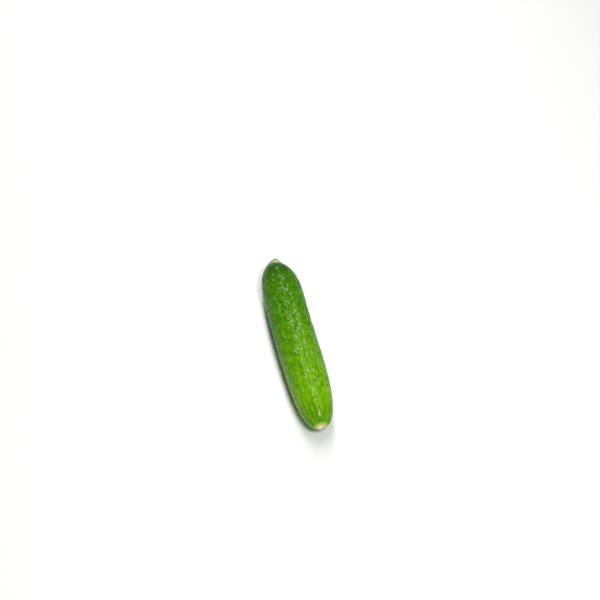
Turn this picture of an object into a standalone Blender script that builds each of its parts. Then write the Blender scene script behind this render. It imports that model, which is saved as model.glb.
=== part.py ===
"""A mini cucumber as picked, lying on its side on a small flat spot of its own.

The fruit grew as one piece and is one solid, with its ribs, its lumps and the corky scar that the flower left.
The stub of the stem is a second solid, seated in a shallow dish at the dark end of the fruit.
Lengths are in metres. X runs along the fruit, from the stem to the blossom end, and Z is up.
"""

import math

import bmesh
import bpy
from mathutils import Matrix

MM = 0.001

# Driving dimensions of the fruit, whose length is taken between the poles of its plain shape
FRUIT_LENGTH = 147.0 * MM
FRUIT_DIAMETER = 30.0 * MM
BELLY_AT = 0.43  # share of the length, from the stem, where the fruit is thickest
STEM_TAPER = (5.6, 1.4)  # how late and how bluntly the fruit narrows to the stem
BLOSSOM_TAPER = (3.9, 2.55)  # the same towards the blossom end, which is rounder

# The fruit isn't quite straight: each of these moves its middle line along -Y
BOW = 1.3 * MM
STEM_LEAN = 1.7 * MM
BLOSSOM_LEAN = 1.6 * MM
LEAN_REACH = 16.0 * MM

# Ribs that run along the fruit, as (count, share, turn), and how far they wander sideways, in radians
RIB_HEIGHT = 0.26 * MM
RIB_WAVES = ((10, 0.50, 1.57), (7, 0.30, 0.40), (13, 0.20, 2.10))
RIB_SWAY = 0.14
RIB_SWAYS = 1.3  # how often they wander and come back over the length

# Slow lumps, as (waves along, waves round, share, turn)
LUMP_HEIGHT = 0.32 * MM
LUMP_WAVES = ((1.7, 1, 0.40, 0.3), (2.9, 2, 0.35, 1.9), (4.3, 3, 0.25, 4.0))

# Folds that gather towards the blossom end
PUCKER_HEIGHT = 0.24 * MM
PUCKER_COUNT = 9
PUCKER_REACH = 9.0 * MM

# The flat spot that the fruit lies on: a straight strip, beside which the skin rises by these slopes at least
FLAT_DEPTH = 0.45 * MM
FLAT_WIDTH = 5.8 * MM
FLAT_LENGTH = 63.0 * MM
FLAT_AT = 0.493  # share of the length, from the stem, under which the weight lies
FLAT_SIDE_RISE = 0.08
FLAT_END_RISE = 0.04

# The shallow dish that the stem stub sits in, and the clearance between the two
DISH_RADIUS = 5.9 * MM
DISH_DEPTH = 0.8 * MM
DISH_LIP = 0.2 * MM
GAP = 0.3 * MM

# The stem stub
STUB_HEIGHT = 6.9 * MM
STUB_CUT_RADIUS = 1.8 * MM
STUB_FLARE = 1.05  # above 1 the sides are hollow, like a tent
STUB_RIDGES = 5
STUB_RIDGE_SHARE = 0.09
STUB_LEAN = 2.4 * MM
STUB_LEAN_CURVE = 1.5  # above 1 the lean grows towards the cut
STUB_CUT_DEPTH = 0.3 * MM

# The corky scar at the blossom end, which has a raised rim and a small boss in its middle
SCAR_RADIUS = 2.6 * MM
SCAR_RIM_RADIUS = 2.0 * MM
SCAR_RIM_HEIGHT = 0.4 * MM
SCAR_BOSS_HEIGHT = 0.2 * MM

# How finely the round shapes are cut
FRUIT_SIDES = 64
FRUIT_RINGS = 50
FLAT_COLUMNS = 2  # columns of points on the flat strip, each way from its middle one
STUB_SIDES = 30
STUB_RINGS = 8
SAME_POINT = 0.001 * MM

# Linear colours and roughness of the finishes
SKIN_GREEN = (0.075, 0.235, 0.012)
SKIN_ROUGHNESS = 0.32
CORK_PINK = (0.62, 0.47, 0.36)
CORK_ROUGHNESS = 0.8
STEM_GREEN = (0.47, 0.50, 0.16)
STEM_ROUGHNESS = 0.6

RADIUS = FRUIT_DIAMETER / 2
BELLY = BELLY_AT * FRUIT_LENGTH
AXIS_HEIGHT = RADIUS - FLAT_DEPTH
FLAT_X = FLAT_AT * FRUIT_LENGTH


def narrowing(radius, taper):
    """The share of the way from the belly to a pole at which the fruit has this radius."""
    late, blunt = taper
    return (1.0 - (radius / RADIUS) ** blunt) ** (1.0 / late)


DISH_X = BELLY * (1.0 - narrowing(DISH_RADIUS, STEM_TAPER))
SCAR_X = BELLY + (FRUIT_LENGTH - BELLY) * narrowing(SCAR_RADIUS, BLOSSOM_TAPER)


def clear_scene():
    for thing in list(bpy.data.objects):
        bpy.data.objects.remove(thing, do_unlink=True)


def make_material(name, colour, roughness):
    material = bpy.data.materials.new(name)
    material.use_nodes = True
    shader = material.node_tree.nodes["Principled BSDF"]
    shader.inputs["Base Color"].default_value = (*colour, 1.0)
    shader.inputs["Roughness"].default_value = roughness
    shader.inputs["Metallic"].default_value = 0.0
    material.diffuse_color = (*colour, 1.0)
    return material


def plain_radius(x):
    """Radius of the fruit without its relief: half a superellipse each way from the belly."""
    if x < BELLY:
        share = (BELLY - x) / BELLY
        late, blunt = STEM_TAPER
    else:
        share = (x - BELLY) / (FRUIT_LENGTH - BELLY)
        late, blunt = BLOSSOM_TAPER
    return RADIUS * max(0.0, 1.0 - share**late) ** (1.0 / blunt)


def middle_line(x):
    """The sideways place of the fruit's middle."""
    bow = BOW * math.sin(math.pi * x / FRUIT_LENGTH)
    stem = STEM_LEAN * math.exp(-x / LEAN_REACH)
    blossom = BLOSSOM_LEAN * math.exp((x - FRUIT_LENGTH) / LEAN_REACH)
    return -(bow + stem + blossom)


def relief(x, radius, turn):
    """How far the skin stands out, which fades where the fruit gets narrow at its ends."""
    along = math.tau * x / FRUIT_LENGTH
    swayed = turn + RIB_SWAY * math.sin(RIB_SWAYS * along)
    ribs = sum(share * math.cos(count * swayed + start) for count, share, start in RIB_WAVES)
    lumps = sum(
        share * math.sin(waves * along + start) * math.cos(waves_round * turn + start)
        for waves, waves_round, share, start in LUMP_WAVES
    )
    pucker = math.exp((x - FRUIT_LENGTH) / PUCKER_REACH) * math.cos(PUCKER_COUNT * turn)
    fade = max(0.0, (radius - DISH_RADIUS) / (RADIUS - DISH_RADIUS))
    return fade * (RIB_HEIGHT * ribs + LUMP_HEIGHT * lumps + PUCKER_HEIGHT * pucker)


def lie_flat(x, y, z, turn):
    """The place across and the height of a point of the skin, once the fruit lies on its flat strip."""
    middle = middle_line(FLAT_X)
    past_end = abs(x - FLAT_X) - FLAT_LENGTH / 2
    past_side = abs(y - middle) - FLAT_WIDTH / 2
    column = round((turn + math.pi / 2) / (math.tau / FRUIT_SIDES))
    if past_end <= 0.0 and abs(column) <= FLAT_COLUMNS:
        return middle + FLAT_WIDTH / 2 * column / FLAT_COLUMNS, 0.0
    clear = FLAT_SIDE_RISE * max(0.0, past_side) + FLAT_END_RISE * max(0.0, past_end)
    return y, max(clear, z)


def spin_profile(profile, sides):
    """A closed solid turned about X from (x, radius) points, of which the first and last lie on the axis."""
    shape = bmesh.new()
    line = [shape.verts.new((x, 0.0, radius)) for x, radius in profile]
    edges = [shape.edges.new(pair) for pair in zip(line, line[1:])]
    bmesh.ops.spin(
        shape,
        geom=line + edges,
        cent=(0, 0, 0),
        axis=(1, 0, 0),
        angle=math.tau,
        steps=sides,
        use_merge=True,
    )
    bmesh.ops.remove_doubles(shape, verts=shape.verts, dist=SAME_POINT)
    bmesh.ops.recalc_face_normals(shape, faces=shape.faces)
    return shape


def add_object(name, shape, materials, parent):
    mesh = bpy.data.meshes.new(name)
    shape.to_mesh(mesh)
    shape.free()
    for material in materials:
        mesh.materials.append(material)
    mesh.shade_smooth()
    thing = bpy.data.objects.new(name, mesh)
    thing.parent = parent
    bpy.context.scene.collection.objects.link(thing)
    return thing


def fruit_profile():
    """From the middle of the dish, over its lip and along the skin, to the middle of the scar."""
    points = [
        (DISH_X + DISH_DEPTH, 0.0),
        (DISH_X + DISH_DEPTH, DISH_RADIUS - 2 * DISH_LIP),
        (DISH_X + DISH_LIP, DISH_RADIUS - DISH_LIP),
    ]
    for ring in range(FRUIT_RINGS + 1):
        # The rings stand closer together towards both ends, where the outline turns fastest
        way = (1.0 - math.cos(math.pi * ring / FRUIT_RINGS)) / 2
        x = DISH_X + (SCAR_X - DISH_X) * way
        points.append((x, plain_radius(x)))
    points += [
        (SCAR_X + SCAR_RIM_HEIGHT, SCAR_RIM_RADIUS),
        (SCAR_X + SCAR_BOSS_HEIGHT / 2, SCAR_RIM_RADIUS / 2),
        (SCAR_X + SCAR_BOSS_HEIGHT, 0.0),
    ]
    return points


def make_fruit(skin, cork, parent):
    shape = spin_profile(fruit_profile(), FRUIT_SIDES)
    for vert in shape.verts:
        x, y, z = vert.co
        turn = math.atan2(z, y)
        radius = math.hypot(y, z)
        radius += relief(x, radius, turn)
        across = middle_line(x) + radius * math.cos(turn)
        height = AXIS_HEIGHT + radius * math.sin(turn)
        vert.co.y, vert.co.z = lie_flat(x, across, height, turn)
    for face in shape.faces:
        face.material_index = int(face.calc_center_median().x > SCAR_X)
    return add_object("fruit", shape, [skin, cork], parent)


def stub_profile():
    """From the middle of the underside, up the hollow sides to the cut, and in to its middle."""
    base_radius = DISH_RADIUS - 2 * DISH_LIP - GAP
    points = [(0.0, 0.0)]
    for ring in range(STUB_RINGS + 1):
        up = ring / STUB_RINGS
        radius = STUB_CUT_RADIUS + (base_radius - STUB_CUT_RADIUS) * (1.0 - up) ** STUB_FLARE
        points.append((STUB_HEIGHT * up, radius))
    points += [
        (STUB_HEIGHT - STUB_CUT_DEPTH, STUB_CUT_RADIUS / 2),
        (STUB_HEIGHT - STUB_CUT_DEPTH, 0.0),
    ]
    return points


def make_stub(tissue, parent):
    shape = spin_profile(stub_profile(), STUB_SIDES)
    for vert in shape.verts:
        up = min(1.0, max(0.0, vert.co.x / STUB_HEIGHT))
        turn = math.atan2(vert.co.z, vert.co.y)
        ridge = 1.0 + STUB_RIDGE_SHARE * math.sin(math.pi * up) * math.cos(STUB_RIDGES * turn)
        vert.co.y = vert.co.y * ridge + STUB_LEAN * up**STUB_LEAN_CURVE
        vert.co.z = vert.co.z * ridge
    # The stub was turned growing along +X, and is mirrored to grow away from the fruit
    bmesh.ops.transform(shape, matrix=Matrix.Diagonal((-1.0, 1.0, 1.0, 1.0)), verts=shape.verts)
    bmesh.ops.reverse_faces(shape, faces=shape.faces)
    stub = add_object("stem_stub", shape, [tissue], parent)
    stub.location = (DISH_X + DISH_DEPTH - GAP, middle_line(DISH_X), AXIS_HEIGHT)
    return stub


def centre_over_origin(holder, things):
    """Moves the whole so that the middle of its box is over the origin."""
    bpy.context.view_layer.update()
    corners = [thing.matrix_world @ vert.co for thing in things for vert in thing.data.vertices]
    for axis in (0, 1):
        values = [corner[axis] for corner in corners]
        holder.location[axis] = -(min(values) + max(values)) / 2


def main():
    clear_scene()
    holder = bpy.data.objects.new("mini_cucumber", None)
    bpy.context.scene.collection.objects.link(holder)
    skin = make_material("cucumber_skin", SKIN_GREEN, SKIN_ROUGHNESS)
    cork = make_material("scar_cork", CORK_PINK, CORK_ROUGHNESS)
    tissue = make_material("stem_tissue", STEM_GREEN, STEM_ROUGHNESS)
    fruit = make_fruit(skin, cork, holder)
    stub = make_stub(tissue, holder)
    centre_over_origin(holder, [fruit, stub])


main()
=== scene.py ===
"""The looks of a mini cucumber that lies on a pale board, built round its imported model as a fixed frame.

Lengths are in metres, and a value that is meant in millimetres is written as a number times MM.
X runs along the fruit from the stem to the blossom end, +Z is up, and the camera looks down from the
blossom end.
"""

import math

import bmesh
import bpy
from bpy.props import FloatProperty, FloatVectorProperty, IntProperty, PointerProperty
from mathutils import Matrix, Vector, noise


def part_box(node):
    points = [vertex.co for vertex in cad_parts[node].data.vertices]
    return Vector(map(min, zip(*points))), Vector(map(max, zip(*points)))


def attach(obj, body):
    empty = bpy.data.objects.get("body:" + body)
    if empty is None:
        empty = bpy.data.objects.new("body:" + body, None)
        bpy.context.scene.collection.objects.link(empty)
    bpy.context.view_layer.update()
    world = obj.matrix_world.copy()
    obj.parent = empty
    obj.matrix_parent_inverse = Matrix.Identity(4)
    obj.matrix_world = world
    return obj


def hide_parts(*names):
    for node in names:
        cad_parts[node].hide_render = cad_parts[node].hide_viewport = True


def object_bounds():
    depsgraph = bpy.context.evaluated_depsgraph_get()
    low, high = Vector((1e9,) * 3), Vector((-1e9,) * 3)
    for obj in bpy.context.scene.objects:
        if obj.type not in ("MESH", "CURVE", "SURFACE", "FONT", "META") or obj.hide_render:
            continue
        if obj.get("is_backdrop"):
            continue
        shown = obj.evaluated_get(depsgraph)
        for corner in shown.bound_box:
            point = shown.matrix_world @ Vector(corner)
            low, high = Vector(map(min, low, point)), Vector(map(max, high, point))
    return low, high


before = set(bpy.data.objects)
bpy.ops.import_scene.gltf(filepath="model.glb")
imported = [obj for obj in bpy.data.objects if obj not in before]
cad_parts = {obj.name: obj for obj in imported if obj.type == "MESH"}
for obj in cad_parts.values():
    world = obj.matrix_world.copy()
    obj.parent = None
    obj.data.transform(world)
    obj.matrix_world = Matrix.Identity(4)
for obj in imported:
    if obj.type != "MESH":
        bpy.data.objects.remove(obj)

bl_info = {
    "name": "Mini cucumber",
    "version": (1, 0, 0),
    "blender": (4, 5, 0),
    "location": "View3D > Sidebar > Cucumber",
    "description": "Makes the skin, the stem stub, the blossom scar and the warts of a mini cucumber",
    "category": "Add Mesh",
}

MM = 0.001
PER_MM = 1000.0
BODY = "root"

# Kinds of nodes that come often
MATHS = "ShaderNodeMath"
VECTOR = "ShaderNodeVectorMath"
SPLIT = "ShaderNodeSeparateXYZ"
JOIN = "ShaderNodeCombineXYZ"
RANGE = "ShaderNodeMapRange"
MIX = "ShaderNodeMix"
NOISE = "ShaderNodeTexNoise"

# The fruit's growth form, as in the model of its solids
FRUIT_LENGTH = 147.0 * MM  # between the poles of its plain shape
FRUIT_DIAMETER = 30.0 * MM
BELLY_AT = 0.43
STEM_TAPER = (5.6, 1.4)
BLOSSOM_TAPER = (3.9, 2.55)
BOW = 1.3 * MM
STEM_LEAN = 1.7 * MM
BLOSSOM_LEAN = 1.6 * MM
LEAN_REACH = 16.0 * MM
RIB_HEIGHT = 0.26 * MM
RIB_WAVES = ((10, 0.50, 1.57), (7, 0.30, 0.40), (13, 0.20, 2.10))
RIB_SWAY = 0.14
RIB_SWAYS = 1.3
LUMP_HEIGHT = 0.32 * MM
LUMP_WAVES = ((1.7, 1, 0.40, 0.3), (2.9, 2, 0.35, 1.9), (4.3, 3, 0.25, 4.0))
PUCKER_HEIGHT = 0.24 * MM
PUCKER_COUNT = 9
PUCKER_REACH = 9.0 * MM
FLAT_DEPTH = 0.45 * MM
FLAT_WIDTH = 5.8 * MM
FLAT_LENGTH = 63.0 * MM
FLAT_AT = 0.493
FLAT_SIDE_RISE = 0.08
FLAT_END_RISE = 0.04
DISH_RADIUS = 5.9 * MM
DISH_DEPTH = 0.8 * MM
STUB_SEAT = 0.5 * MM  # how deep the stub's foot sits in its dish
STUB_HEIGHT = 6.9 * MM
STUB_FOOT_RADIUS = 5.2 * MM
STUB_RIDGES = 5
STUB_RIDGE_SHARE = 0.09
STUB_LEAN = 2.4 * MM
STUB_LEAN_CURVE = 1.5
SCAR_RADIUS = 2.6 * MM
SCAR_RIM_RADIUS = 2.0 * MM
SCAR_RIM_HEIGHT = 0.4 * MM
SCAR_BOSS_HEIGHT = 0.2 * MM

# What only the looks have
STUB_TIP_RADIUS = 1.35 * MM  # the cut's rim has dried and shrunk a little
STUB_FOOT_SPREAD = 1.0 * MM  # the foot has grown this much wider, over the rim of its dish
STUB_BULGE = 0.85  # below 1 the flanks are rounded
STUB_FULL_SIDE = 0.14  # the flank towards +Y stands out further
FOOT_LIFT = 0.45 * MM  # brings the stub's lowest part up on the shoulder
FOOT_SHARE = 0.12
COLLAR_WIDTH = 1.5 * MM
COLLAR_HEIGHT = 0.18 * MM
COLLAR_DEPTH = 0.3 * MM  # how deep the collar's outer edge is sunk in the skin
STUB_UNEVEN = 0.16 * MM  # how far the stub's flanks swell and sink
CUT_UNEVEN = 0.16 * MM
CUT_GRAIN = 0.04 * MM
CRACK_DEPTH = 0.12 * MM
WARTS_FROM = 14.0 * MM  # warts stand between these two places along the fruit
WARTS_TO = 138.0 * MM
WARTS_ABOVE = 3.0 * MM  # and higher than this over the board
WELD = 0.002 * MM  # points of the skin closer than this become one

RADIUS = FRUIT_DIAMETER / 2
BELLY = BELLY_AT * FRUIT_LENGTH
AXIS_HEIGHT = RADIUS - FLAT_DEPTH


def narrowing(radius, taper):
    """The share of the way from the belly to a pole at which the fruit has this radius."""
    late, blunt = taper
    return (1.0 - (radius / RADIUS) ** blunt) ** (1.0 / late)


def middle_line(x):
    """The sideways place of the fruit's middle, at a length from the stem pole."""
    bow = BOW * math.sin(math.pi * x / FRUIT_LENGTH)
    stem = STEM_LEAN * math.exp(-x / LEAN_REACH)
    blossom = BLOSSOM_LEAN * math.exp((x - FRUIT_LENGTH) / LEAN_REACH)
    return -(bow + stem + blossom)


DISH_X = BELLY * (1.0 - narrowing(DISH_RADIUS, STEM_TAPER))
SCAR_X = BELLY + (FRUIT_LENGTH - BELLY) * narrowing(SCAR_RADIUS, BLOSSOM_TAPER)

# Where the stem pole of the plain fruit is in the frame, whose origin is under the middle of the whole
POLE = Vector((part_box("fruit")[0].x - DISH_X, 1.28 * MM, 0.0))


def linear(code):
    """Linear colour of an sRGB hex value."""
    shares = [int(code[at : at + 2], 16) / 255 for at in (1, 3, 5)]
    return tuple(s / 12.92 if s <= 0.04045 else ((s + 0.055) / 1.055) ** 2.4 for s in shares)


def colour_prop(name, description, code):
    """A colour that the user can change, from its sRGB hex value."""
    return FloatVectorProperty(
        name=name, description=description, subtype="COLOR", size=3, min=0.0, max=1.0, default=linear(code)
    )


class SkinSettings(bpy.types.PropertyGroup):
    """Sizes and colours of the skin."""

    rings: IntProperty(
        name="Rings", description="How many rings of faces along the fruit", default=340, min=24
    )
    sides: IntProperty(name="Sides", description="How many faces round the fruit", default=240, min=24)
    bump_height: FloatProperty(
        name="Bump height",
        description="How far the small wormy bumps of the skin stand out",
        default=1.32 * MM, unit="LENGTH", precision=5,
    )
    dimple_depth: FloatProperty(
        name="Dimple depth",
        description="How deep the small dimples lie in the skin",
        default=0.26 * MM, unit="LENGTH", precision=5,
    )
    furrow_depth: FloatProperty(
        name="Furrow depth",
        description="How deep the fine furrows run along the skin",
        default=0.12 * MM, unit="LENGTH", precision=5,
    )
    # Partly the fruit's own dark green and partly painted shade on the shoulder
    stem_green_and_shade: colour_prop("Stem end", "Skin on the shoulder under the stem", "#164804")
    shoulder_green: colour_prop("Shoulder", "Skin a fifth of the way along", "#3c7602")
    middle_green: colour_prop("Middle", "Skin on the belly", "#478502")
    blossom_green: colour_prop("Blossom end", "Skin near the blossom end", "#6aa404")
    # The pale mottle also paints a highlight on the tops of the bumps
    pale_mottle_and_highlight: FloatVectorProperty(
        name="Pale mottle", description="How the pale spots of the skin multiply its green",
        subtype="XYZ", size=3, default=(1.75, 1.36, 1.0),
    )
    # The dark mottle also paints shade in the dimples
    dark_mottle_and_dimple_shade: FloatVectorProperty(
        name="Dark mottle", description="How the dark spots of the skin multiply its green",
        subtype="XYZ", size=3, default=(0.42, 0.62, 0.9),
    )
    rim_green: colour_prop("Scar rim", "Skin just round the blossom scar", "#c2da5e")
    streak_green: colour_prop("Streaks", "Pale streaks that run along the skin", "#a4c94a")
    # Painted shade of the grooves between the folds near the scar
    groove_shade_green: colour_prop("Grooves", "Grooves between the folds near the scar", "#337803")


class StubSettings(bpy.types.PropertyGroup):
    """Sizes and colours of the stem stub."""

    sides: IntProperty(name="Sides", description="How many faces round the stub", default=144, min=24)
    fibre_height: FloatProperty(
        name="Fibre height",
        description="How far the fibres stand out along the stub",
        default=0.07 * MM, unit="LENGTH", precision=5,
    )
    pale_tissue: colour_prop("Pale tissue", "Fresh tissue low on the stub", "#dcdfa4")
    olive_tissue: colour_prop("Olive tissue", "Tissue near the cut and in the grooves", "#76862a")
    # Brown of the flank towards -Y, of the rim of the cut and of its heart
    brown_edge: colour_prop("Brown edge", "Dried flank, rim of the cut and its heart", "#6b5428")
    # Grey of the flank towards +Y
    grey_edge: colour_prop("Grey edge", "Weathered side of the stub", "#96893f")
    collar: colour_prop("Collar", "Pale collar with which the stub grips the shoulder", "#c0d0a2")
    collar_edge: colour_prop("Collar edge", "Outer edge of the collar, which turns into skin", "#7fa346")
    pith: colour_prop("Pith", "Pale middle of the cut", "#d9d6a4")


class ScarSettings(bpy.types.PropertyGroup):
    """Sizes and colours of the blossom scar."""

    sides: IntProperty(name="Sides", description="How many faces round the scar", default=120, min=24)
    roughness_height: FloatProperty(
        name="Rim roughness",
        description="How uneven the corky rim is",
        default=0.14 * MM, unit="LENGTH", precision=5,
    )
    pink_cork: colour_prop("Pink cork", "Fresh cork of the scar", "#fff5f0")
    tan_cork: colour_prop("Tan cork", "Older cork at the edge and in patches", "#d3ac86")
    brown_crack: colour_prop("Cracks", "Bottom of the cracks", "#8b6747")


class WartSettings(bpy.types.PropertyGroup):
    """Sizes and colours of the warts, from which the young fruit's spines have worn off."""

    spacing: FloatProperty(
        name="Spacing", description="Least distance between two warts", default=17.0 * MM, unit="LENGTH"
    )
    width: FloatProperty(
        name="Width", description="Width of the largest warts", default=1.1 * MM, unit="LENGTH", precision=4
    )
    seed: IntProperty(name="Seed", description="Another seed places the warts elsewhere", default=7)
    tip: colour_prop("Tip", "Worn tip of a wart", "#a9b962")


class StageSettings(bpy.types.PropertyGroup):
    """Board and lights."""

    board_white: colour_prop("Board", "Colour of the board under the fruit", "#f6f6f4")
    back_power: FloatProperty(
        name="Back light",
        description="Power of the light that glints along the fruit",
        default=9.2, unit="POWER",
    )
    top_power: FloatProperty(
        name="Top light",
        description="Power of the light that glints on the blossom end",
        default=6.4, unit="POWER",
    )
    front_power: FloatProperty(
        name="Front light",
        description="Power of the large soft light in front",
        default=1.2, unit="POWER",
    )


class CucumberSettings(bpy.types.PropertyGroup):
    """Everything that the panel shows."""

    skin: PointerProperty(type=SkinSettings)
    stub: PointerProperty(type=StubSettings)
    scar: PointerProperty(type=ScarSettings)
    warts: PointerProperty(type=WartSettings)
    stage: PointerProperty(type=StageSettings)


def add(tree, kind, inputs=(), **settings):
    """Adds a node with its settings, and sets or links its inputs, named or listed in their order."""
    made = tree.nodes.new(kind)
    made.location = (180 * (len(tree.nodes) // 8), -170 * (len(tree.nodes) % 8))
    for name, value in settings.items():
        setattr(made, name, value)
    for key, value in inputs.items() if isinstance(inputs, dict) else enumerate(inputs):
        if isinstance(key, str):
            socket = next(s for s in made.inputs if s.enabled and s.name == key)
        else:
            socket = made.inputs[key]
        if isinstance(value, bpy.types.Node):
            value = next(s for s in value.outputs if s.enabled)
        if isinstance(value, bpy.types.NodeSocket):
            tree.links.new(value, socket)
        else:
            socket.default_value = value
    return made


def pattern(tree, place, along, across, inputs, kind=NOISE):
    """A texture on a map in metres, of so many cells to the millimetre along the fruit and across it."""
    scale = (along * PER_MM, across * PER_MM, across * PER_MM)
    place = add(tree, VECTOR, [place, scale], operation="MULTIPLY")
    return add(tree, kind, {"Vector": place, "Scale": 1.0, **inputs})


def paint(tree, colour, layers):
    """Lays tints over a colour by their shares. A tint is mixed in, or it multiplies what is under it."""
    for share, tint, blend in layers:
        layer = {"Factor": share, "A": colour, "B": (*tint, 1.0)}
        colour = add(tree, MIX, layer, data_type="RGBA", blend_type=blend)
    return colour


def new_shape_tree(name, sizes):
    """An empty Geometry Nodes tree with named inputs, and its input and output nodes."""
    tree = bpy.data.node_groups.new(name, "GeometryNodeTree")
    tree.interface.new_socket("Geometry", in_out="INPUT", socket_type="NodeSocketGeometry")
    for label, kind in sizes:
        tree.interface.new_socket(label, in_out="INPUT", socket_type=kind)
    tree.interface.new_socket("Geometry", in_out="OUTPUT", socket_type="NodeSocketGeometry")
    return tree, add(tree, "NodeGroupInput"), add(tree, "NodeGroupOutput")


def grow(name, tree, values, mesh=None):
    """Runs a Geometry Nodes tree on a new object, and keeps what it makes as a plain mesh."""
    thing = bpy.data.objects.new(name, mesh or bpy.data.meshes.new(name))
    bpy.context.scene.collection.objects.link(thing)
    modifier = thing.modifiers.new(name, "NODES")
    modifier.node_group = tree
    for item in tree.interface.items_tree:
        if item.in_out == "INPUT" and item.name in values:
            modifier[item.identifier] = values[item.name]
    graph = bpy.context.evaluated_depsgraph_get()
    plain = bpy.data.meshes.new_from_object(
        thing.evaluated_get(graph), preserve_all_data_layers=True, depsgraph=graph
    )
    thing.modifiers.remove(modifier)
    thing.data = plain
    plain.name = name
    if not plain.polygons:
        raise RuntimeError(f"{name} came out without faces")
    plain.shade_smooth()
    return thing


def keep(piece, slot, *nodes):
    """Fixes a finished piece to the body and hides the plain solids that it stands for."""
    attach(piece, BODY)
    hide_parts(*nodes)


def new_material(name):
    """An empty material and its tree."""
    material = bpy.data.materials.new(name)
    material.use_nodes = True
    material.node_tree.nodes.clear()
    return material, material.node_tree


def shade(tree, inputs):
    """Adds a material's shader, with its inputs, and the output."""
    shader = add(tree, "ShaderNodeBsdfPrincipled", inputs)
    add(tree, "ShaderNodeOutputMaterial", {"Surface": shader})


def skin_tree():
    """The skin as one closed grid, wrapped round the fruit's middle line and pushed out by its relief."""
    sizes = (
        ("Rings", "NodeSocketInt"),
        ("Sides", "NodeSocketInt"),
        ("Bump height", "NodeSocketFloat"),
        ("Dimple depth", "NodeSocketFloat"),
        ("Furrow depth", "NodeSocketFloat"),
        ("Skin", "NodeSocketMaterial"),
    )
    tree, given, result = new_shape_tree("cucumber_skin_shape", sizes)

    # The grid's X, from -0.5 to 0.5, goes along the fruit, and its Y goes once round it
    lines = add(tree, MATHS, [given.outputs["Sides"], 1.0], operation="ADD")
    grid = add(tree, "GeometryNodeMeshGrid", [1.0, 1.0, given.outputs["Rings"], lines])
    flat = add(tree, SPLIT, [add(tree, "GeometryNodeInputPosition")])
    turn = add(tree, MATHS, [flat.outputs["Y"], math.tau], operation="MULTIPLY")
    cosine = add(tree, MATHS, [turn], operation="COSINE")
    sine = add(tree, MATHS, [turn], operation="SINE")

    # A small share of the rings at each end closes the skin, under the stub and under the scar
    closing = 0.02
    way = add(tree, MATHS, [flat, 1.0 + 2 * closing], operation="MULTIPLY")
    inner = add(tree, "ShaderNodeClamp", [way, -0.5, 0.5])
    over = add(tree, MATHS, [way, inner], operation="SUBTRACT")
    dish = add(tree, MATHS, [over, -1.0 / closing], operation="MULTIPLY")
    dish = add(tree, MATHS, [dish, 0.0], operation="MAXIMUM")
    cap = add(tree, MATHS, [over, 1.0 / closing], operation="MULTIPLY")
    cap = add(tree, MATHS, [cap, 0.0], operation="MAXIMUM")

    # The rings stand closer together towards both ends, where the outline turns fastest
    evenly = 0.25
    wave = add(tree, MATHS, [inner, math.pi], operation="MULTIPLY")
    wave = add(tree, MATHS, [wave], operation="SINE")
    wave = add(tree, MATHS, [wave, (1.0 - evenly) / 2], operation="MULTIPLY")
    share = add(tree, MATHS, [inner, evenly, wave], operation="MULTIPLY_ADD")
    share = add(tree, MATHS, [share, 0.5], operation="ADD")
    x = add(tree, MATHS, [share, SCAR_X - DISH_X, DISH_X], operation="MULTIPLY_ADD")

    # Half a superellipse each way from the belly
    radius = RADIUS
    for reach, (late, blunt) in ((-BELLY, STEM_TAPER), (FRUIT_LENGTH - BELLY, BLOSSOM_TAPER)):
        part = add(tree, MATHS, [x, 1.0 / reach, -BELLY / reach], operation="MULTIPLY_ADD")
        part = add(tree, MATHS, [part, 0.0], operation="MAXIMUM")
        part = add(tree, MATHS, [part, late], operation="POWER")
        part = add(tree, MATHS, [1.0, part], operation="SUBTRACT")
        part = add(tree, MATHS, [part, 1.0 / blunt], operation="POWER")
        radius = add(tree, MATHS, [part, radius], operation="MULTIPLY")

    # Ribs that wander a little from side to side
    along = add(tree, MATHS, [x, math.tau / FRUIT_LENGTH], operation="MULTIPLY")
    sway = add(tree, MATHS, [along, RIB_SWAYS], operation="MULTIPLY")
    sway = add(tree, MATHS, [sway], operation="SINE")
    swayed = add(tree, MATHS, [sway, RIB_SWAY, turn], operation="MULTIPLY_ADD")
    height = 0.0
    for count, part, start in RIB_WAVES:
        wave = add(tree, MATHS, [swayed, count, start], operation="MULTIPLY_ADD")
        wave = add(tree, MATHS, [wave], operation="COSINE")
        height = add(tree, MATHS, [wave, part * RIB_HEIGHT, height], operation="MULTIPLY_ADD")

    # Slow lumps
    for waves, waves_round, part, start in LUMP_WAVES:
        wave = add(tree, MATHS, [along, waves, start], operation="MULTIPLY_ADD")
        wave = add(tree, MATHS, [wave], operation="SINE")
        crosswise = add(tree, MATHS, [turn, waves_round, start], operation="MULTIPLY_ADD")
        crosswise = add(tree, MATHS, [crosswise], operation="COSINE")
        wave = add(tree, MATHS, [wave, crosswise], operation="MULTIPLY")
        height = add(tree, MATHS, [wave, part * LUMP_HEIGHT, height], operation="MULTIPLY_ADD")

    # Folds that gather towards the blossom end
    near = [x, 1.0 / PUCKER_REACH, -FRUIT_LENGTH / PUCKER_REACH]
    pucker = add(tree, MATHS, near, operation="MULTIPLY_ADD")
    pucker = add(tree, MATHS, [pucker], operation="EXPONENT")
    folds = add(tree, MATHS, [turn, PUCKER_COUNT], operation="MULTIPLY")
    folds = add(tree, MATHS, [folds], operation="COSINE")
    folds = add(tree, MATHS, [folds, pucker], operation="MULTIPLY")
    height = add(tree, MATHS, [folds, PUCKER_HEIGHT, height], operation="MULTIPLY_ADD")
    slender = RADIUS - DISH_RADIUS
    fade = add(tree, MATHS, [radius, 1.0 / slender, -DISH_RADIUS / slender], operation="MULTIPLY_ADD")
    fade = add(tree, MATHS, [fade, 0.0], operation="MAXIMUM")
    height = add(tree, MATHS, [height, fade], operation="MULTIPLY")

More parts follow.
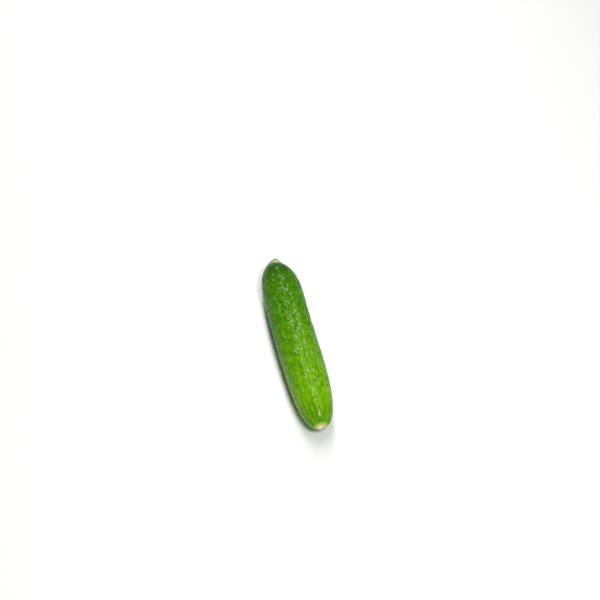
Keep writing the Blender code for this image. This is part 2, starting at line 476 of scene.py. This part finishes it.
    # The straight, even map of the skin, in which its patterns keep their size and meet at the ends
    map_y = add(tree, MATHS, [cosine, RADIUS], operation="MULTIPLY")
    map_z = add(tree, MATHS, [sine, RADIUS], operation="MULTIPLY")
    skin_map = add(tree, JOIN, [x, map_y, map_z])

    # Small wormy bumps, 4 mm apart along the fruit and 5 mm apart round it
    bumps = pattern(tree, skin_map, 0.26, 0.20, {"Detail": 0.7, "Roughness": 0.4, "Distortion": 0.9})
    bumps = add(tree, MATHS, [bumps, -0.53], operation="ADD")
    bumps = add(tree, MATHS, [bumps, 2.0], operation="MULTIPLY")

    # Dimples, 6 mm apart along the fruit and 4 mm apart round it
    cells = pattern(tree, skin_map, 0.16, 0.26, {"Randomness": 0.9}, "ShaderNodeTexVoronoi")
    dimples = add(tree, RANGE, [cells, 0.06, 0.30, -1.0, 0.0], interpolation_type="SMOOTHSTEP")

    # Furrows that run along the fruit, 1 to 2 mm apart
    furrows = pattern(tree, skin_map, 0.03, 0.75, {"Detail": 1.0, "Roughness": 0.5})
    furrows = add(tree, MATHS, [furrows, -0.5], operation="ADD")

    # The fine relief is calmer at both ends and down the flanks
    fine = add(tree, MATHS, [bumps, given.outputs["Bump height"]], operation="MULTIPLY")
    for marks, depth in ((dimples, "Dimple depth"), (furrows, "Furrow depth")):
        fine = add(tree, MATHS, [marks, given.outputs[depth], fine], operation="MULTIPLY_ADD")
    full_depth = add(tree, MATHS, [fade, 2.5], operation="MULTIPLY")
    full_depth = add(tree, MATHS, [full_depth, 1.0], operation="MINIMUM")
    for value, start, end, calm in (
        (x, 0.18 * FRUIT_LENGTH, 0.09 * FRUIT_LENGTH, 0.15),
        (x, 0.82 * FRUIT_LENGTH, 0.90 * FRUIT_LENGTH, 0.32),
        (sine, 0.65, 0.10, 0.30),
    ):
        left = add(tree, RANGE, [value, start, end, 1.0, calm])
        full_depth = add(tree, MATHS, [full_depth, left], operation="MULTIPLY")
    fine = add(tree, MATHS, [fine, full_depth], operation="MULTIPLY")

    # The closed ends: a dish under the stub, and a plain lid under the scar
    radius = add(tree, MATHS, [radius, height], operation="ADD")
    radius = add(tree, MATHS, [radius, fine], operation="ADD")
    for part in (dish, cap):
        left = add(tree, MATHS, [1.0, part], operation="SUBTRACT")
        radius = add(tree, MATHS, [radius, left], operation="MULTIPLY")
    deep = add(tree, MATHS, [dish, 6.0], operation="MULTIPLY")
    deep = add(tree, MATHS, [deep, 1.0], operation="MINIMUM")
    place_x = add(tree, MATHS, [deep, DISH_DEPTH, x], operation="MULTIPLY_ADD")

    # The middle line
    bow = add(tree, MATHS, [x, math.pi / FRUIT_LENGTH], operation="MULTIPLY")
    bow = add(tree, MATHS, [bow], operation="SINE")
    middle = add(tree, MATHS, [bow, -BOW], operation="MULTIPLY")
    for lean, side, pole in ((STEM_LEAN, -1.0, 0.0), (BLOSSOM_LEAN, 1.0, FRUIT_LENGTH)):
        part = add(tree, MATHS, [x, side / LEAN_REACH, -side * pole / LEAN_REACH], operation="MULTIPLY_ADD")
        part = add(tree, MATHS, [part], operation="EXPONENT")
        middle = add(tree, MATHS, [part, -lean, middle], operation="MULTIPLY_ADD")
    across = add(tree, MATHS, [radius, cosine, middle], operation="MULTIPLY_ADD")
    up = add(tree, MATHS, [radius, sine, AXIS_HEIGHT], operation="MULTIPLY_ADD")

    # The flat strip underneath, beside which the skin rises gently
    beside = add(tree, MATHS, [across, -middle_line(FLAT_AT * FRUIT_LENGTH)], operation="ADD")
    beyond = add(tree, MATHS, [x, -FLAT_AT * FRUIT_LENGTH], operation="ADD")
    lowest = 0.0
    for off, size, rise in ((beside, FLAT_WIDTH, FLAT_SIDE_RISE), (beyond, FLAT_LENGTH, FLAT_END_RISE)):
        off = add(tree, MATHS, [off], operation="ABSOLUTE")
        off = add(tree, MATHS, [off, -size / 2], operation="ADD")
        off = add(tree, MATHS, [off, 0.0], operation="MAXIMUM")
        lowest = add(tree, MATHS, [off, rise, lowest], operation="MULTIPLY_ADD")
    up = add(tree, MATHS, [up, lowest], operation="MAXIMUM")

    place = add(tree, JOIN, [place_x, across, up])
    place = add(tree, VECTOR, [place, POLE], operation="ADD")
    wrapped = grid.outputs["Mesh"]
    for label, kind, value in (
        ("skin_map", "FLOAT_VECTOR", skin_map), ("fine_relief", "FLOAT", fine), ("dimple", "FLOAT", dimples),
    ):
        stored = {"Geometry": wrapped, "Name": label, "Value": value}
        wrapped = add(tree, "GeometryNodeStoreNamedAttribute", stored, data_type=kind, domain="POINT")
    wrapped = add(tree, "GeometryNodeSetPosition", {"Geometry": wrapped, "Position": place})
    closed = add(tree, "GeometryNodeMergeByDistance", {"Geometry": wrapped, "Distance": WELD})
    whole = add(tree, "GeometryNodeRealizeInstances", {"Geometry": closed})
    dressed = {"Geometry": whole, "Material": given.outputs["Skin"]}
    finished = add(tree, "GeometryNodeSetMaterial", dressed)
    tree.links.new(finished.outputs["Geometry"], result.inputs["Geometry"])
    return tree


def skin_material(settings):
    """Waxy cucumber skin: a thin clear wax over green tissue, which gives broken glints and a pale sheen."""
    material, tree = new_material("waxy_cucumber_skin")
    skin_map = add(tree, "ShaderNodeAttribute", attribute_name="skin_map").outputs["Vector"]
    relief = add(tree, "ShaderNodeAttribute", attribute_name="fine_relief").outputs["Fac"]
    dimple = add(tree, "ShaderNodeAttribute", attribute_name="dimple").outputs["Fac"]
    along = add(tree, SPLIT, [skin_map])
    along = add(tree, MATHS, [along, 1.0 / FRUIT_LENGTH], operation="MULTIPLY")

    # The greens from the stem to the blossom end, whose borders wander a little
    wander = pattern(tree, skin_map, 0.03, 0.12, {"Detail": 3.0})
    wander = add(tree, MATHS, [wander, -0.5], operation="ADD")
    station = add(tree, MATHS, [wander, 0.12, along], operation="MULTIPLY_ADD")
    greens = add(tree, "ShaderNodeValToRGB", [station])
    stops = (
        # The darkest green, at the stem end, is partly the fruit's own colour and partly painted shade
        (0.02, settings.stem_green_and_shade),
        (0.20, settings.shoulder_green),
        (0.45, settings.middle_green),
        (0.86, settings.blossom_green),
    )
    ramp = greens.color_ramp
    while len(ramp.elements) < len(stops):
        ramp.elements.new(0.5)
    for element, (at, colour) in zip(ramp.elements, stops):
        element.position = at
        element.color = (*colour, 1.0)

    # Mottling, 2 mm across and 4 mm along the fruit: yellower where it is pale, bluer where it is dark
    mottle = pattern(tree, skin_map, 0.24, 0.50, {"Detail": 4.0, "Roughness": 0.62})
    pale = add(tree, RANGE, [mottle, 0.50, 0.68, 0.0, 0.68])
    dark = add(tree, RANGE, [mottle, 0.50, 0.32, 0.0, 0.68])

    # Pale streaks, about 2 mm wide, that show most towards the blossom end
    streaks = pattern(tree, skin_map, 0.025, 0.45, {"Detail": 3.0})
    streaks = add(tree, RANGE, [streaks, 0.52, 0.75], interpolation_type="SMOOTHSTEP")
    reach = add(tree, RANGE, [along, 0.25, 0.95, 0.10, 0.55])
    streaks = add(tree, MATHS, [streaks, reach], operation="MULTIPLY")

    # Towards the scar the skin gathers in folds, whose grooves are painted darker, a painted shade
    grooves = pattern(tree, skin_map, 0.03, 0.46, {"Detail": 2.0})
    grooves = add(tree, RANGE, [grooves, 0.50, 0.38], interpolation_type="SMOOTHSTEP")
    reach = add(tree, RANGE, [along, 0.82, 0.96, 0.0, 0.7])
    grooves = add(tree, MATHS, [grooves, reach], operation="MULTIPLY")

    # The tops of the bumps are painted paler, a painted highlight, and the dimples are painted darker, a
    # painted shade. There is a pale rim round the scar
    high = add(tree, RANGE, [relief, 0.03 * MM, 0.20 * MM, 0.0, 0.3])
    # Painted shade in the dimples
    low = add(tree, MATHS, [dimple, -0.70], operation="MULTIPLY")
    rim = add(tree, RANGE, [along, 0.988, 0.999, 0.0, 0.9], interpolation_type="SMOOTHSTEP")
    layers = (
        (pale, settings.pale_mottle_and_highlight, "MULTIPLY"),
        (dark, settings.dark_mottle_and_dimple_shade, "MULTIPLY"),
        (streaks, settings.streak_green, "MIX"),
        # Painted shade of the grooves near the scar
        (grooves, settings.groove_shade_green, "MIX"),
        # Painted highlight on the tops of the bumps
        (high, settings.pale_mottle_and_highlight, "MULTIPLY"),
        # Painted shade in the dimples
        (low, settings.dark_mottle_and_dimple_shade, "MULTIPLY"),
        (rim, settings.rim_green, "MIX"),
    )

    # The wax is uneven, so its gloss is too
    wax = pattern(tree, skin_map, 0.5, 0.7, {"Detail": 3.0})
    gloss = add(tree, RANGE, [wax, 0.3, 0.7, 0.12, 0.22])

    # Grain of the skin's cells, drawn 0.7 mm wide so that it shows
    grain = pattern(tree, skin_map, 0.9, 1.4, {"Detail": 2.0})
    bump = add(tree, "ShaderNodeBump", {"Strength": 0.6, "Distance": 0.03 * MM, "Height": grain})
    shade(tree, {
        "Base Color": paint(tree, greens, layers),
        "Roughness": 0.5,
        "IOR": 1.38,
        "Normal": bump,
        "Specular IOR Level": 0.0,
        "Coat Weight": 0.44,
        "Coat Roughness": gloss,
        "Coat IOR": 1.45,
        "Coat Normal": bump,
    })
    return material


class CUCUMBER_OT_skin(bpy.types.Operator):
    """Makes the whole skin of the fruit, from the dish under the stem to the lid under the scar"""

    bl_idname = "cucumber.skin"
    bl_label = "Skin"

    def execute(self, context):
        settings = context.scene.cucumber.skin
        values = {
            "Rings": settings.rings,
            "Sides": settings.sides,
            "Bump height": settings.bump_height,
            "Dimple depth": settings.dimple_depth,
            "Furrow depth": settings.furrow_depth,
            "Skin": skin_material(settings),
        }
        keep(grow("fruit_skin", skin_tree(), values), "skin", "fruit")
        return {"FINISHED"}


def turned_piece(name, rows, sides, place, material):
    """A closed mesh of rings, one for each row, of which the first and last are points on the axis.

    place gives the position, the map position and the finish share of a point, from its row and turn.
    """
    points = [place(rows[0], 0.0)]
    points += [place(row, math.tau * side / sides) for row in rows[1:-1] for side in range(sides)]
    points.append(place(rows[-1], 0.0))
    last, rings = len(points) - 1, len(rows) - 2
    faces = []
    for side in range(sides):
        following = (side + 1) % sides
        faces.append((0, 1 + following, 1 + side))
        for ring in range(rings - 1):
            near, far = 1 + ring * sides, 1 + (ring + 1) * sides
            faces.append((near + side, near + following, far + following, far + side))
        near = 1 + (rings - 1) * sides
        faces.append((near + side, near + following, last))
    mesh = bpy.data.meshes.new(name)
    mesh.from_pydata([point[0] for point in points], [], faces)
    shape = bmesh.new()
    shape.from_mesh(mesh)
    bmesh.ops.recalc_face_normals(shape, faces=shape.faces)
    shape.to_mesh(mesh)
    shape.free()
    for label, kind, at in (("piece_map", "FLOAT_VECTOR", 1), ("finish", "FLOAT", 2)):
        attribute = mesh.attributes.new(label, kind, "POINT")
        for value, point in zip(attribute.data, points):
            if kind == "FLOAT":
                value.value = point[at]
            else:
                value.vector = point[at]
    mesh.materials.append(material)
    mesh.shade_smooth()
    thing = bpy.data.objects.new(name, mesh)
    bpy.context.scene.collection.objects.link(thing)
    return thing


def grown(x, y, z):
    """How much tissue varies at a place given in millimetres, from about -1 to 1, the same on each run."""
    return noise.noise(Vector((x, y, z)))


def stub_rows():
    """(share of the way up, share of the radius, finish) of the stub's rings; finish is 1 on the cut.

    A way up below 0 is a share of the way out over the collar, with which the stub grips the shoulder.
    """
    rows = [(0.0, 0.0, 0.0), (0.0, 0.6, 0.0)]
    rows += [(-out, 1.0, 0.0) for out in (1.06, 1.0, 0.85, 0.7, 0.55, 0.4, 0.25, 0.1)]
    steps = 46
    rows += [(step / steps, 1.0, 0.0) for step in range(steps + 1)]
    cut = ((0.012, 0.96), (0.004, 0.90), (-0.02, 0.84), (-0.036, 0.74), (-0.034, 0.66), (-0.028, 0.58))
    rows += [(1.0 + rise, share, 1.0) for rise, share in cut]
    pith = ((-0.034, 0.50), (-0.045, 0.40), (-0.06, 0.30), (-0.075, 0.18), (-0.08, 0.08), (-0.08, 0.0))
    rows += [(1.0 + rise, share, 1.0) for rise, share in pith]
    return rows


def make_stub(settings):
    """The stub: five ridges that flare into the shoulder, fibres, and a dished cut with its bundles."""
    foot_radius = STUB_FOOT_RADIUS + STUB_FOOT_SPREAD
    bundles, bundle_at, bundle_height = 10, 0.66, 0.10 * MM

    def place(row, turn):
        up, share, cut = row
        side = min(1.0, max(0.0, up))
        radius = STUB_TIP_RADIUS + (foot_radius - STUB_TIP_RADIUS) * (1.0 - side) ** STUB_BULGE
        across, height = math.cos(turn), math.sin(turn)
        if up < 0.0:
            ragged = 1.0 + 0.25 * math.cos(STUB_RIDGES * turn) + 0.5 * grown(2 * across, 2 * height, 7.0)
            radius += COLLAR_WIDTH * -up * ragged
            skin_x = BELLY * (1.0 - narrowing(radius, STEM_TAPER))
            lift = COLLAR_HEIGHT * (1.0 + up) if up > -1.0 else -COLLAR_DEPTH
            spot = Vector(
                (skin_x - lift, middle_line(skin_x) + radius * across, AXIS_HEIGHT + radius * height)
            )
            return spot + POLE, (0.5 * up, across, height), 0.0
        swell = math.sin(math.pi * side)
        ridge = STUB_RIDGE_SHARE * swell * math.cos(STUB_RIDGES * turn)
        lobes = 0.035 * (1.0 - side) ** 3 * math.cos(STUB_RIDGES * turn)
        radius *= 1.0 + ridge + lobes + STUB_FULL_SIDE * swell * max(0.0, across)
        fibres = math.cos(31 * turn + 1.4 * math.sin(4 * turn)) + 0.7 * math.cos(47 * turn + 2.0 * side)
        fibres += 1.6 * grown(6 * across, 6 * height, 1.5 * side)
        radius += settings.fibre_height * fibres * min(1.0, 4 * side) * (1.0 if not cut else share)
        radius += STUB_UNEVEN * grown(2.2 * across, 2.2 * height, 4.0 * side + 9.0) * min(1.0, 3 * side)
        radius *= share
        rise = up * STUB_HEIGHT + FOOT_LIFT * max(0.0, 1.0 - side / FOOT_SHARE)
        if up > 0.9:
            rim = (up - 0.9) / 0.1 if not cut else 1.0
            rise += rim * CUT_UNEVEN * grown(3.0 * across, 3.0 * height, 5.0) * min(1.0, share * 1.5)
        if cut:
            ring = math.exp(-(((share - bundle_at) / 0.10) ** 2))
            rise += bundle_height * ring * (0.5 + 0.5 * math.cos(bundles * turn + 0.6))
            rise += CUT_GRAIN * grown(14 * share * across, 14 * share * height, 2.0)
        spot = Vector(
            (
                DISH_X + STUB_SEAT - rise,
                middle_line(DISH_X) + radius * across + STUB_LEAN * side**STUB_LEAN_CURVE,
                AXIS_HEIGHT + radius * height,
            )
        )
        return spot + POLE, (side, across * share, height * share), cut * (1.0 - share)

    return turned_piece("stem_stub_tissue", stub_rows(), settings.sides, place, stub_material(settings))


def stub_material(settings):
    """Dried stem tissue, torn and cut: matt and fibrous, pale green that turns olive, brown and grey."""
    material, tree = new_material("dried_stem_tissue")
    piece_map = add(tree, "ShaderNodeAttribute", attribute_name="piece_map").outputs["Vector"]
    cut = add(tree, "ShaderNodeAttribute", attribute_name="finish").outputs["Fac"]
    parts = add(tree, SPLIT, [piece_map])
    height = parts.outputs["X"]

    # Fibres run from the foot, where they are 0.7 mm wide, to the cut
    place = add(tree, VECTOR, [piece_map, (1.2, 9.0, 9.0)], operation="MULTIPLY")
    fibres = add(tree, NOISE, {"Vector": place, "Scale": 1.0, "Detail": 4.0})
    olive = add(tree, RANGE, [height, 0.20, 0.80, 0.0, 0.85])
    fibre_share = add(tree, RANGE, [fibres, 0.42, 0.66, 0.0, 0.8])
    olive = add(tree, MATHS, [olive, fibre_share], operation="ADD", use_clamp=True)

    # The flank towards -Y is mixed to brown and the flank towards +Y to grey
    flank = add(tree, MATHS, [fibres, 0.5, -0.25], operation="MULTIPLY_ADD")
    flank = add(tree, MATHS, [parts.outputs["Y"], flank], operation="ADD")

    # The collar is pale and turns green at its outer edge. The cut is pale, with a brown rim and heart
    layers = [(olive, settings.olive_tissue, "MIX")]
    for value, low, high, most, tissue in (
        (flank, -0.25, -0.60, 0.95, settings.brown_edge),
        (flank, 0.40, 0.80, 0.80, settings.grey_edge),
        (height, 0.10, 0.0, 0.8, settings.collar),
        (height, -0.12, -0.50, 0.85, settings.collar_edge),
        (height, 0.93, 1.0, 0.7, settings.brown_edge),
        (cut, 0.05, 0.25, 1.0, settings.pith),
        (cut, 0.65, 0.85, 0.6, settings.brown_edge),
    ):
        layers.append((add(tree, RANGE, [value, low, high, 0.0, most]), tissue, "MIX"))
    bump = add(tree, "ShaderNodeBump", {"Strength": 0.6, "Distance": 0.10 * MM, "Height": fibres})
    shade(tree, {
        "Base Color": paint(tree, (*settings.pale_tissue, 1.0), layers),
        "Roughness": add(tree, RANGE, [fibres, 0.3, 0.7, 0.50, 0.72]),
        "IOR": 1.42,
        "Normal": bump,
    })
    return material


def scar_rows():
    """(share of the radius, height over the skin, finish) of its rings; finish is 1 in the middle."""
    rim = SCAR_RIM_RADIUS / SCAR_RADIUS
    rows = [(0.0, -0.5 * MM, 0.0), (0.9, -0.5 * MM, 0.0), (1.04, -0.16 * MM, 0.0)]
    rows += [(1.03, -0.02 * MM, 0.0), (0.99, 0.08 * MM, 0.05), (0.94, 0.18 * MM, 0.1)]
    rows += [(0.88, 0.28 * MM, 0.15), (0.83, 0.35 * MM, 0.2), (rim, SCAR_RIM_HEIGHT * 0.97, 0.3)]
    steps = 22
    for step in range(1, steps + 1):
        inward = step / steps
        share = rim * (1.0 - inward)
        trough = 0.10 * MM + (SCAR_RIM_HEIGHT - 0.13 * MM) * math.exp(-((inward / 0.22) ** 2))
        boss = SCAR_BOSS_HEIGHT * 0.7 * math.exp(-(((1.0 - inward) / 0.3) ** 2))
        rows.append((share, min(SCAR_RIM_HEIGHT * 0.97, trough + boss), 0.3 + 0.7 * inward))
    return rows


def make_scar(settings):
    """The blossom scar: a corky disc with a ragged rim, a trough with cracks, and a small boss."""

    def place(row, turn):
        share, height, inner = row
        across, up = math.cos(turn), math.sin(turn)
        ragged = 1.0 + 0.07 * grown(1.6 * across, 1.6 * up, 3.0) + 0.03 * grown(6 * across, 6 * up, 8.0)
        radius = SCAR_RADIUS * share * ragged
        rough = settings.roughness_height * min(1.0, share * 2.0)
        cork = grown(4.5 * share * across, 4.5 * share * up, 1.0)
        cork += 0.6 * grown(11 * share * across, 11 * share * up, 4.0)
        crack = abs(math.sin(3.5 * turn + 1.8 * grown(1.2 * across, 1.2 * up, 6.0)))
        crack = math.exp(-((crack / 0.10) ** 2)) * min(1.0, share * 3.0)
        above = height
        if height > 0.0:
            above += rough * cork * 0.55 - CRACK_DEPTH * crack * min(1.0, height / (0.2 * MM))
            above = min(above, SCAR_RIM_HEIGHT)
        x = SCAR_X + above
        spot = Vector((x, middle_line(x) + radius * across, AXIS_HEIGHT + radius * up))
        return spot + POLE, (crack, across * share, up * share), inner

    return turned_piece("blossom_scar", scar_rows(), settings.sides, place, scar_material(settings))


def scar_material(settings):
    """Scar cork, which is dead dry tissue: matt, pinkish white, tan at its edge and brown in its cracks."""
    material, tree = new_material("scar_cork_tissue")
    piece_map = add(tree, "ShaderNodeAttribute", attribute_name="piece_map").outputs["Vector"]
    parts = add(tree, SPLIT, [piece_map])
    disc = add(tree, JOIN, [0.0, parts.outputs["Y"], parts.outputs["Z"]])
    off_centre = add(tree, VECTOR, [disc, (0.0, -0.24, 0.15)], operation="SUBTRACT")
    out = add(tree, VECTOR, [off_centre], operation="LENGTH").outputs["Value"]

    # Cork cells, drawn 0.4 mm wide so that they show
    cork = add(tree, NOISE, {"Vector": disc, "Scale": 6.0, "Detail": 5.0, "Roughness": 0.6})
    patches = add(tree, RANGE, [cork, 0.50, 0.68, 0.0, 0.55])
    edge = add(tree, RANGE, [out, 0.66, 0.92, 0.0, 0.85])
    tan = add(tree, MATHS, [patches, edge], operation="ADD", use_clamp=True)
    crack = add(tree, MATHS, [parts, 0.75], operation="MULTIPLY", use_clamp=True)
    layers = ((tan, settings.tan_cork, "MIX"), (crack, settings.brown_crack, "MIX"))
    bump = add(tree, "ShaderNodeBump", {"Strength": 0.7, "Distance": 0.10 * MM, "Height": cork})
    shade(tree, {
        "Base Color": paint(tree, (*settings.pink_cork, 1.0), layers),
        "Roughness": add(tree, RANGE, [cork, 0.3, 0.7, 0.68, 0.88]),
        "IOR": 1.40,
        "Normal": bump,
    })
    return material


def wart_tree():
    """Low domes scattered over the skin that the tree is given, apart from its ends and its underside."""
    sizes = (
        ("Spacing", "NodeSocketFloat"),
        ("Width", "NodeSocketFloat"),
        ("Seed", "NodeSocketInt"),
        ("Tissue", "NodeSocketMaterial"),
    )
    tree, given, result = new_shape_tree("cucumber_warts", sizes)
    skin_map = add(tree, "GeometryNodeInputNamedAttribute", {"Name": "skin_map"}, data_type="FLOAT_VECTOR")
    along = add(tree, SPLIT, [skin_map])
    height = add(tree, SPLIT, [add(tree, "GeometryNodeInputPosition")]).outputs["Z"]
    chosen = True
    for measure, limit, side in (
        (along, WARTS_FROM, "GREATER_THAN"),
        (along, WARTS_TO, "LESS_THAN"),
        (height, WARTS_ABOVE, "GREATER_THAN"),
    ):
        both = {"A": measure, "B": limit}
        clear = add(tree, "FunctionNodeCompare", both, data_type="FLOAT", operation=side)
        chosen = add(tree, "FunctionNodeBooleanMath", [chosen, clear], operation="AND")
    scatter = {
        "Mesh": given.outputs["Geometry"],
        "Selection": chosen,
        "Distance Min": given.outputs["Spacing"],
        "Density Max": 20000.0,
        "Seed": given.outputs["Seed"],
    }
    spots = add(tree, "GeometryNodeDistributePointsOnFaces", scatter, distribute_method="POISSON")
    draw = {"Min": 0.55, "Max": 1.0, "Seed": given.outputs["Seed"]}
    size = add(tree, "FunctionNodeRandomValue", draw, data_type="FLOAT")
    size = add(tree, MATHS, [size, given.outputs["Width"]], operation="MULTIPLY")

    # Each dome is a flattened ball, a third as high as it is wide, sunk to its middle in the skin
    ball = add(tree, "GeometryNodeMeshUVSphere", {"Segments": 14, "Rings": 8, "Radius": 0.5})
    dome = add(tree, "GeometryNodeTransform", {"Geometry": ball.outputs["Mesh"], "Scale": (1.0, 1.0, 0.36)})
    placing = {
        "Points": spots.outputs["Points"],
        "Instance": dome,
        "Rotation": spots.outputs["Rotation"],
        "Scale": size,
    }
    domes = add(tree, "GeometryNodeInstanceOnPoints", placing)
    whole = add(tree, "GeometryNodeRealizeInstances", {"Geometry": domes})
    dressed = {"Geometry": whole, "Material": given.outputs["Tissue"]}
    finished = add(tree, "GeometryNodeSetMaterial", dressed)
    tree.links.new(finished.outputs["Geometry"], result.inputs["Geometry"])
    return tree


def cloudy(tree, colour, scale, detail, darkest, palest):
    """A colour that varies a little from place to place, and the noise that varies it."""
    place = add(tree, "ShaderNodeTexCoord").outputs["Object"]
    grain = add(tree, NOISE, {"Vector": place, "Scale": scale, "Detail": detail})
    shades = add(tree, RANGE, [grain, 0.3, 0.7, darkest, palest])
    layer = {"Factor": 1.0, "A": (*colour, 1.0), "B": shades}
    return add(tree, MIX, layer, data_type="RGBA", blend_type="MULTIPLY"), grain


def wart_material(settings):
    """Worn wart tissue: matt and pale, a little darker in its pores."""
    material, tree = new_material("worn_wart_tissue")
    colour, grain = cloudy(tree, settings.tip, 1.6 * PER_MM, 3.0, 0.75, 1.1)
    bump = add(tree, "ShaderNodeBump", {"Strength": 0.5, "Distance": 0.05 * MM, "Height": grain})
    shade(tree, {"Base Color": colour, "Roughness": 0.5, "IOR": 1.42, "Normal": bump})
    return material


class CUCUMBER_OT_stub(bpy.types.Operator):
    """Makes the stub of the stem"""

    bl_idname = "cucumber.stub"
    bl_label = "Stem stub"

    def execute(self, context):
        keep(make_stub(context.scene.cucumber.stub), "stem", "stem_stub")
        return {"FINISHED"}


class CUCUMBER_OT_scar(bpy.types.Operator):
    """Makes the corky scar that the flower left"""

    bl_idname = "cucumber.scar"
    bl_label = "Blossom scar"

    def execute(self, context):
        keep(make_scar(context.scene.cucumber.scar), "stem", "fruit")
        return {"FINISHED"}


class CUCUMBER_OT_warts(bpy.types.Operator):
    """Scatters warts over the skin, which has to be there first"""

    bl_idname = "cucumber.warts"
    bl_label = "Warts"

    def execute(self, context):
        skin = bpy.data.objects.get("fruit_skin")
        if skin is None:
            raise RuntimeError("the warts need the skin")
        settings = context.scene.cucumber.warts
        values = {
            "Spacing": settings.spacing,
            "Width": settings.width,
            "Seed": settings.seed,
            "Tissue": wart_material(settings),
        }
        keep(grow("skin_warts", wart_tree(), values, skin.data.copy()), "skin", "fruit")
        return {"FINISHED"}


class CUCUMBER_OT_stage(bpy.types.Operator):
    """Makes the board, the lights and the camera"""

    bl_idname = "cucumber.stage"
    bl_label = "Stage"

    def execute(self, context):
        settings = context.scene.cucumber.stage
        make_board(settings)
        make_lights(settings)
        make_camera()
        context.scene.view_settings.view_transform = "Standard"
        return {"FINISHED"}


def make_board(settings):
    """A plain pale board, far larger than the view."""
    half = 3.0
    mesh = bpy.data.meshes.new("board")
    corners = [(-half, -half, 0.0), (half, -half, 0.0), (half, half, 0.0), (-half, half, 0.0)]
    mesh.from_pydata(corners, [], [(0, 1, 2, 3)])
    mesh.materials.append(board_material(settings))
    board = bpy.data.objects.new("board", mesh)
    bpy.context.scene.collection.objects.link(board)
    board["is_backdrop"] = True


def board_material(settings):
    """Matt white board: it shows no glints, only faint clouds and the fruit's shadow."""
    material, tree = new_material("matt_white_board")
    colour = cloudy(tree, settings.board_white, 3.0, 2.0, 0.985, 1.0)[0]
    shade(tree, {"Base Color": colour, "Roughness": 0.7})
    return material


def add_light(name, place, size, power):
    """A soft rectangular light that faces the fruit."""
    light = bpy.data.lights.new(name, "AREA")
    light.shape = "RECTANGLE"
    light.size, light.size_y = size
    light.energy = power
    thing = bpy.data.objects.new(name, light)
    thing.location = place
    thing.rotation_euler = Vector(place).to_track_quat("Z", "Y").to_euler()
    bpy.context.scene.collection.objects.link(thing)


def make_lights(settings):
    """Two soft lights above the fruit, whose reflections are its glints, and a large one in front."""
    add_light("back", (-0.56, 0.06, 0.83), (0.17, 1.5), settings.back_power)
    add_light("top", (0.48, 0.08, 0.90), (0.26, 0.26), settings.top_power)
    add_light("front", (1.30, 0.20, 0.80), (1.2, 1.2), settings.front_power)
    world = bpy.data.worlds.new("bright_room")
    world.use_nodes = True
    world.node_tree.nodes["Background"].inputs["Color"].default_value = (1.0, 1.0, 1.0, 1.0)
    world.node_tree.nodes["Background"].inputs["Strength"].default_value = 0.08
    bpy.context.scene.world = world


def make_camera():
    """Looks down on the fruit from its blossom end, with the fruit where the photograph has it."""
    elevation, azimuth = math.radians(55.0), math.radians(76.4)
    distance = 0.85
    pixels_per_mm = 1.396
    model_pixel = (295.9, 339.5)  # where the middle of the model's box is in the picture
    picture = 600.0
    level = math.cos(elevation)
    back = Vector((math.sin(azimuth) * level, -math.cos(azimuth) * level, math.sin(elevation)))
    low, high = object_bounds()
    data = bpy.data.cameras.new("camera")
    data.shift_x = (picture / 2 - model_pixel[0]) / picture
    data.shift_y = (model_pixel[1] - picture / 2) / picture
    data.sensor_width = 36.0
    data.lens = data.sensor_width * distance / (picture / pixels_per_mm * MM)
    data.clip_start, data.clip_end = 0.01, 20.0
    camera = bpy.data.objects.new("camera", data)
    camera.location = (low + high) / 2 + back * distance
    camera.rotation_euler = back.to_track_quat("Z", "Y").to_euler()
    bpy.context.scene.collection.objects.link(camera)
    bpy.context.scene.camera = camera


class CUCUMBER_PT_panel(bpy.types.Panel):
    """Lists the pieces, with their sizes and colours"""

    bl_idname = "CUCUMBER_PT_panel"
    bl_label = "Mini cucumber"
    bl_space_type = "VIEW_3D"
    bl_region_type = "UI"
    bl_category = "Cucumber"

    def draw(self, context):
        settings = context.scene.cucumber
        listed = (
            (CUCUMBER_OT_stage, settings.stage),
            (CUCUMBER_OT_skin, settings.skin),
            (CUCUMBER_OT_stub, settings.stub),
            (CUCUMBER_OT_scar, settings.scar),
            (CUCUMBER_OT_warts, settings.warts),
        )
        for operator, group in listed:
            box = self.layout.box()
            for name in group.bl_rna.properties.keys():
                if name not in ("rna_type", "name"):
                    box.prop(group, name)
            box.operator(operator.bl_idname)


CLASSES = (
    SkinSettings,
    StubSettings,
    ScarSettings,
    WartSettings,
    StageSettings,
    CucumberSettings,
    CUCUMBER_OT_stage,
    CUCUMBER_OT_skin,
    CUCUMBER_OT_stub,
    CUCUMBER_OT_scar,
    CUCUMBER_OT_warts,
    CUCUMBER_PT_panel,
)


def register():
    for kind in CLASSES:
        bpy.utils.register_class(kind)
    bpy.types.Scene.cucumber = PointerProperty(type=CucumberSettings)


def unregister():
    del bpy.types.Scene.cucumber
    for kind in reversed(CLASSES):
        bpy.utils.unregister_class(kind)


def main():
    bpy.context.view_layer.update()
    register()
    bpy.ops.cucumber.stage()
    bpy.ops.cucumber.skin()
    bpy.ops.cucumber.stub()
    bpy.ops.cucumber.scar()
    bpy.ops.cucumber.warts()


if __name__ == "__main__":
    main()
